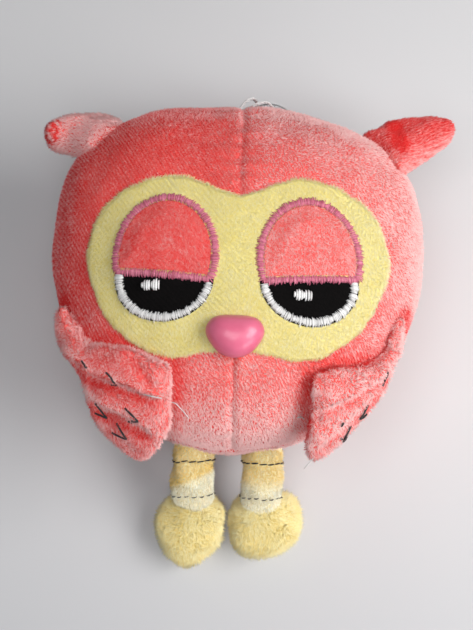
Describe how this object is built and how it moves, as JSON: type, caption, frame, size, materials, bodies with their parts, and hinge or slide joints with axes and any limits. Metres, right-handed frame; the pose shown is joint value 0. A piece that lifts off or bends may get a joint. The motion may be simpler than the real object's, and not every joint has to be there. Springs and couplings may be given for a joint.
{
  "type": "plush owl",
  "caption": "Stuffed owl toy with a rounded cushion body, goggle face patch, half-closed appliqued eyes, plastic beak, folded wings, ear tufts, dangling legs and a suction cup on a cord loop.",
  "frame": {"origin": "middle of the flat patch on the back that the lying owl rests on, under the widest line of the body", "axes": "+X to the owl's own left, +Y to its crown, +Z out of its face"},
  "size_m": [0.143, 0.1698, 0.0753],
  "materials": {
    "coral_plush": "short-pile coral plush",
    "yellow_plush": "short-pile yellow plush",
    "cream_plush": "short-pile cream plush",
    "yellow_fleece": "fluffy pale yellow fleece",
    "mauve_thread": "satin stitched mauve thread",
    "white_thread": "satin stitched white thread",
    "black_felt": "black stitched felt",
    "pink_plastic": "glossy pink moulded plastic",
    "washer_plastic": "natural moulded plastic",
    "fibre_filling": "white polyester fibre",
    "clear_vinyl": "clear soft vinyl",
    "white_cord": "thin white cord"
  },
  "bodies": {
    "torso": {"body_front_left": "coral_plush", "body_front_right": "coral_plush", "body_back": "coral_plush", "body_filling": "fibre_filling", "face_patch": "yellow_plush", "eyelid_left": "coral_plush", "eyelid_right": "coral_plush", "eyelid_trim_left": "mauve_thread", "eyelid_trim_right": "mauve_thread", "pupil_left": "black_felt", "pupil_right": "black_felt", "eye_rim_left": "white_thread", "eye_rim_right": "white_thread", "eye_glint_left": "white_thread", "eye_glint_right": "white_thread", "beak": "pink_plastic", "beak_washer": "washer_plastic"},
    "ear_left": {"ear_front_left": "coral_plush", "ear_back_left": "coral_plush", "ear_filling_left": "fibre_filling"},
    "ear_right": {"ear_front_right": "coral_plush", "ear_back_right": "coral_plush", "ear_filling_right": "fibre_filling"},
    "wing_left": {"wing_outer_left": "coral_plush", "wing_lining_left": "coral_plush", "wing_filling_left": "fibre_filling"},
    "wing_right": {"wing_outer_right": "coral_plush", "wing_lining_right": "coral_plush", "wing_filling_right": "fibre_filling"},
    "leg_left": {"leg_sleeve_left": "cream_plush", "leg_filling_left": "fibre_filling"},
    "leg_right": {"leg_sleeve_right": "cream_plush", "leg_filling_right": "fibre_filling"},
    "foot_left": {"foot_top_left": "yellow_fleece", "foot_sole_left": "yellow_fleece", "foot_filling_left": "fibre_filling"},
    "foot_right": {"foot_top_right": "yellow_fleece", "foot_sole_right": "yellow_fleece", "foot_filling_right": "fibre_filling"},
    "hanger": {"hanging_loop": "white_cord", "suction_cup": "clear_vinyl"}
  },
  "joints": [
    {"name": "ear_bend_left", "type": "hinge", "parent": "torso", "child": "ear_left", "pos_m": [0.04784, 0.03737, 0.038], "axis": [0.7937, -0.6083, 0], "range_deg": [-20, 20], "stiffness_Nm_per_rad": 0.01},
    {"name": "wing_flap_left", "type": "hinge", "parent": "torso", "child": "wing_left", "pos_m": [0.0595, -0.0305, 0.05149], "axis": [0, 1, 0], "range_deg": [0, 90], "stiffness_Nm_per_rad": 0.01},
    {"name": "hip_left", "type": "hinge", "parent": "torso", "child": "leg_left", "pos_m": [0.0115, -0.06943, 0.0307], "axis": [-1, 0, 0], "range_deg": [-5, 50], "stiffness_Nm_per_rad": 0.01},
    {"name": "ankle_left", "type": "hinge", "parent": "leg_left", "child": "foot_left", "pos_m": [0.0115, -0.07908, 0.01921], "axis": [-1, 0, 0], "range_deg": [0, 60], "stiffness_Nm_per_rad": 0.01},
    {"name": "ear_bend_right", "type": "hinge", "parent": "torso", "child": "ear_right", "pos_m": [-0.04784, 0.03737, 0.038], "axis": [0.7937, 0.6083, 0], "range_deg": [-20, 20], "stiffness_Nm_per_rad": 0.01},
    {"name": "wing_flap_right", "type": "hinge", "parent": "torso", "child": "wing_right", "pos_m": [-0.0595, -0.0305, 0.05149], "axis": [0, -1, 0], "range_deg": [0, 90], "stiffness_Nm_per_rad": 0.01},
    {"name": "hip_right", "type": "hinge", "parent": "torso", "child": "leg_right", "pos_m": [-0.0115, -0.06943, 0.0307], "axis": [-1, 0, 0], "range_deg": [-5, 50], "stiffness_Nm_per_rad": 0.01},
    {"name": "ankle_right", "type": "hinge", "parent": "leg_right", "child": "foot_right", "pos_m": [-0.0115, -0.07908, 0.01921], "axis": [-1, 0, 0], "range_deg": [0, 60], "stiffness_Nm_per_rad": 0.01},
    {"name": "cup_swing", "type": "hinge", "parent": "torso", "child": "hanger", "pos_m": [0, 0.0479, 0.0375], "axis": [1, 0, 0], "range_deg": [0, 65]}
  ]
}
